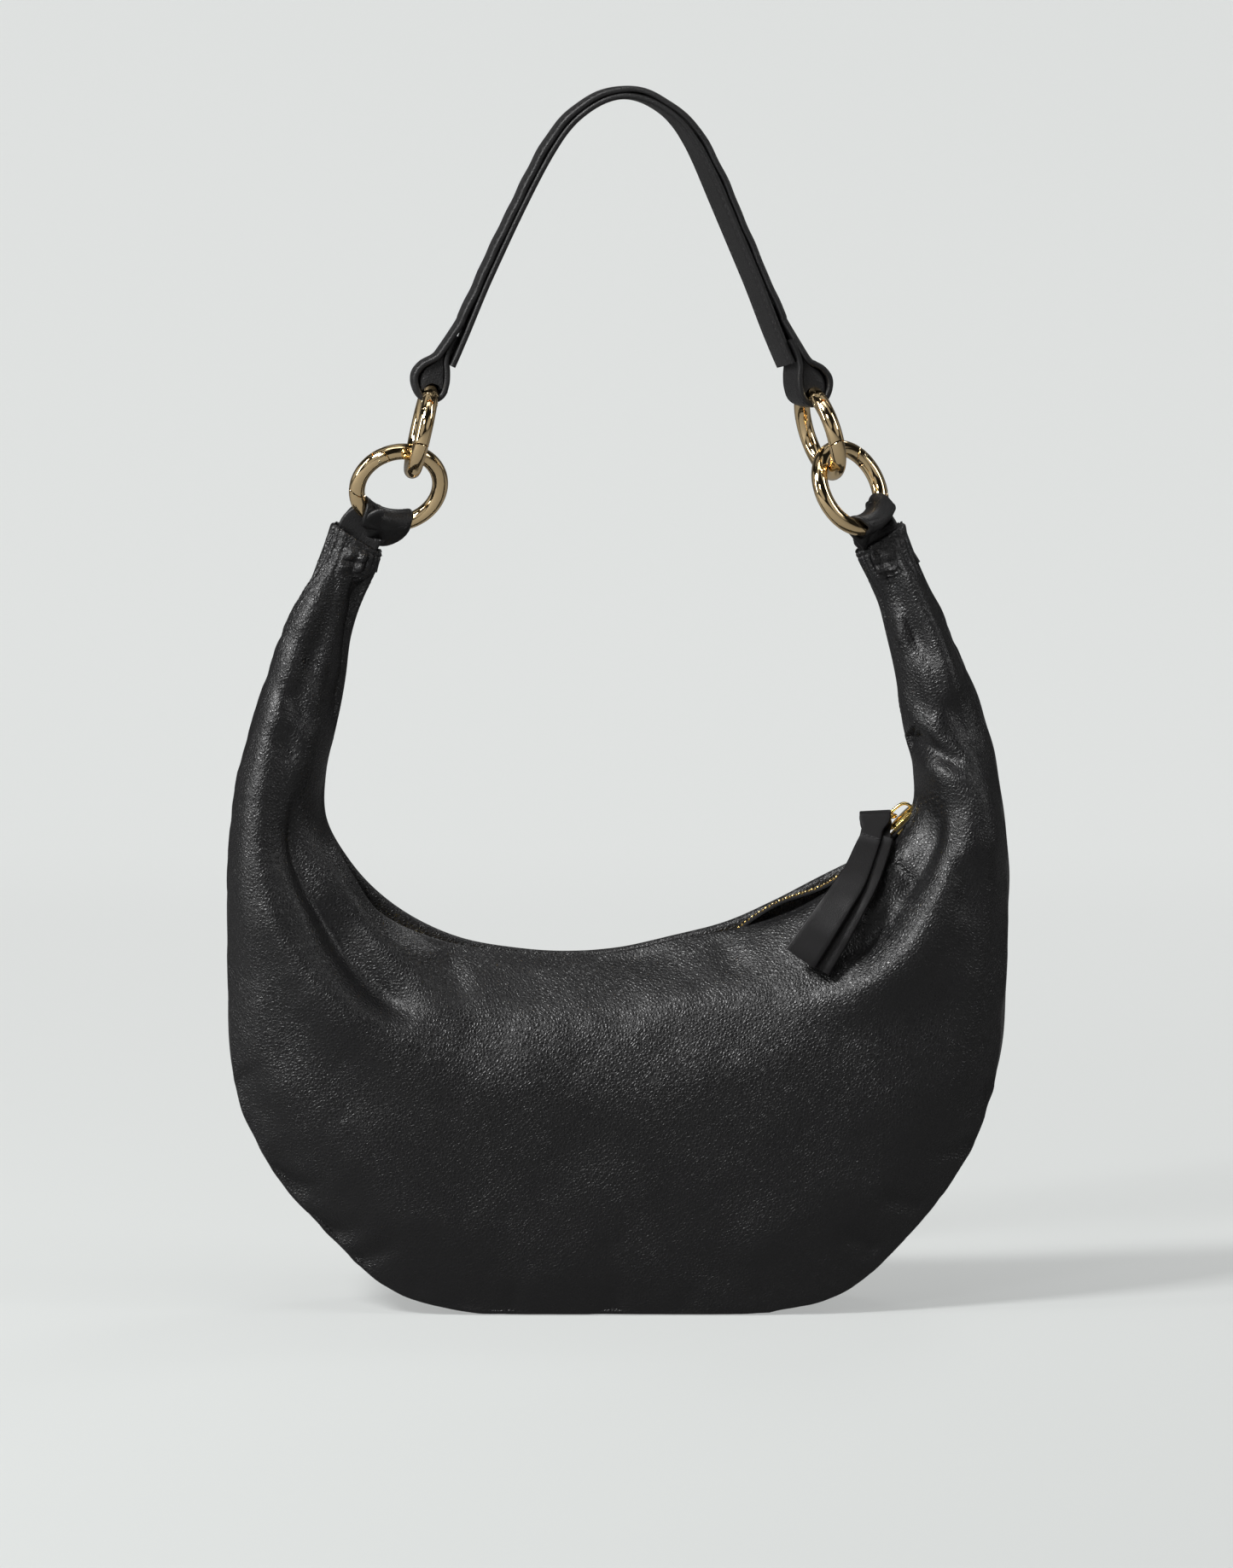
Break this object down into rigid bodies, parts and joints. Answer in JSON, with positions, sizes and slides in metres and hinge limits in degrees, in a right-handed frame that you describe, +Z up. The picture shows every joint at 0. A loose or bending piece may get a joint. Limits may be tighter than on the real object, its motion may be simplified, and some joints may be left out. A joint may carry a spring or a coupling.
{
  "type": "hobo bag",
  "caption": "Soft crescent shoulder bag with a curved zip mouth, leather pull tab, ring tabs, linked spring-gate rings and a short doubled strap.",
  "frame": {"origin": "on the floor under the middle of the bag's outer box", "axes": "+Z up, +X to the right as seen from the front, -Y towards the front panel and its hanging pull tab"},
  "size_m": [0.2922, 0.0762, 0.4583],
  "materials": {
    "leather": "soft black pebbled leather, satin",
    "smooth_leather": "smooth black leather with painted edges, satin",
    "lining": "matte woven black lining",
    "zip_tape": "matte woven black tape",
    "strap_core": "bonded reinforcement, hidden",
    "ring_metal": "polished pale gold plating",
    "zip_metal": "polished yellow gold plating",
    "pin_steel": "plated steel"
  },
  "bodies": {
    "bag_body": {"front_panel": "leather", "back_panel": "leather", "base_gusset": "leather", "lining_front": "lining", "lining_back": "lining", "lining_base": "lining", "slip_pocket": "lining", "zip_facing_front": "leather", "zip_facing_back": "leather", "zip_tape_front": "zip_tape", "zip_tape_back": "zip_tape", "zip_teeth_front": "zip_metal", "zip_teeth_back": "zip_metal", "zip_end_stops": "zip_metal", "left_tab_anchor": "leather", "right_tab_anchor": "leather"},
    "zip_slider": {"zip_slider": "zip_metal"},
    "zip_link": {"zip_link": "zip_metal"},
    "zip_pull_tab": {"pull_tab_fold": "smooth_leather", "pull_tab_front": "smooth_leather", "pull_tab_back": "smooth_leather"},
    "left_tab": {"left_ring_tab": "leather"},
    "right_tab": {"right_ring_tab": "leather"},
    "strap": {"strap_outer": "leather", "strap_inner": "leather", "strap_core": "strap_core", "left_strap_loop": "leather", "right_strap_loop": "leather"},
    "left_lower_ring": {"left_lower_ring": "ring_metal", "left_lower_pin": "pin_steel", "left_lower_spring": "pin_steel"},
    "left_lower_gate": {"left_lower_gate": "ring_metal"},
    "right_lower_ring": {"right_lower_ring": "ring_metal", "right_lower_pin": "pin_steel", "right_lower_spring": "pin_steel"},
    "right_lower_gate": {"right_lower_gate": "ring_metal"},
    "left_upper_ring": {"left_upper_ring": "ring_metal", "left_upper_pin": "pin_steel", "left_upper_spring": "pin_steel"},
    "left_upper_gate": {"left_upper_gate": "ring_metal"},
    "right_upper_ring": {"right_upper_ring": "ring_metal", "right_upper_pin": "pin_steel", "right_upper_spring": "pin_steel"},
    "right_upper_gate": {"right_upper_gate": "ring_metal"}
  },
  "joints": [
    {"name": "zip_slide", "type": "hinge", "parent": "bag_body", "child": "zip_slider", "pos_m": [-0.014, 0, 0.304], "axis": [0, 1, 0], "range_deg": [0, 64], "deforming": ["zip_teeth_front", "zip_teeth_back"]},
    {"name": "zip_link_swing", "type": "hinge", "parent": "zip_slider", "child": "zip_link", "pos_m": [0.10375, 0, 0.18415], "axis": [0, 1, 0], "range_deg": [0, 60]},
    {"name": "pull_tab_swing", "type": "hinge", "parent": "zip_link", "child": "zip_pull_tab", "pos_m": [0.09626, -0.003, 0.18377], "axis": [-0.9987, 0, -0.05], "range_deg": [0, 140]},
    {"name": "left_tab_flex", "type": "hinge", "parent": "bag_body", "child": "left_tab", "pos_m": [-0.09775, 0.001, 0.2895], "axis": [1, 0, 0], "range_deg": [-18, 18]},
    {"name": "right_tab_flex", "type": "hinge", "parent": "bag_body", "child": "right_tab", "pos_m": [0.09775, 0.001, 0.2895], "axis": [1, 0, 0], "range_deg": [-18, 18]},
    {"name": "strap_swing", "type": "hinge", "parent": "left_tab", "child": "strap", "pos_m": [-0.0755, -0.009, 0.3205], "axis": [1, 0, 0], "range_deg": [-28, 48]},
    {"name": "left_lower_ring_turn", "type": "hinge", "parent": "left_tab", "child": "left_lower_ring", "pos_m": [-0.08219, -0.00308, 0.30747], "axis": [0.2028, -0.8482, -0.4893], "continuous": true},
    {"name": "left_lower_gate_open", "type": "hinge", "parent": "left_lower_ring", "child": "left_lower_gate", "pos_m": [-0.0893, -0.01137, 0.31889], "axis": [0.2028, -0.8482, -0.4893], "range_deg": [0, 38], "stiffness_Nm_per_rad": 0.06, "springref_deg": -17.19},
    {"name": "right_lower_ring_turn", "type": "hinge", "parent": "right_tab", "child": "right_lower_ring", "pos_m": [0.08633, -0.00732, 0.3075], "axis": [0.6698, -0.6428, 0.3717], "range_deg": [-170, 40]},
    {"name": "right_lower_gate_open", "type": "hinge", "parent": "right_lower_ring", "child": "right_lower_gate", "pos_m": [0.09057, 0.00337, 0.31834], "axis": [-0.6698, 0.6428, -0.3717], "range_deg": [0, 38], "stiffness_Nm_per_rad": 0.06, "springref_deg": -17.19},
    {"name": "left_upper_ring_turn", "type": "hinge", "parent": "strap", "child": "left_upper_ring", "pos_m": [-0.07348, -0.009, 0.32948], "axis": [-0.972, -0.085, 0.2191], "continuous": true},
    {"name": "left_upper_gate_open", "type": "hinge", "parent": "left_upper_ring", "child": "left_upper_gate", "pos_m": [-0.07018, -0.0207, 0.33957], "axis": [0.972, 0.085, -0.2191], "range_deg": [0, 38], "stiffness_Nm_per_rad": 0.06, "springref_deg": -17.19},
    {"name": "right_upper_ring_turn", "type": "hinge", "parent": "strap", "child": "right_upper_ring", "pos_m": [0.07555, -0.009, 0.3267], "axis": [-0.9112, -0.2961, -0.2865], "continuous": true},
    {"name": "right_upper_gate_open", "type": "hinge", "parent": "right_upper_ring", "child": "right_upper_gate", "pos_m": [0.07569, -0.02022, 0.33783], "axis": [0.9112, 0.2961, 0.2865], "range_deg": [0, 38], "stiffness_Nm_per_rad": 0.06, "springref_deg": -17.19}
  ],
  "couplings": [
    {"joint": "right_tab_flex", "follows": "left_tab_flex", "ratio": 1}
  ]
}
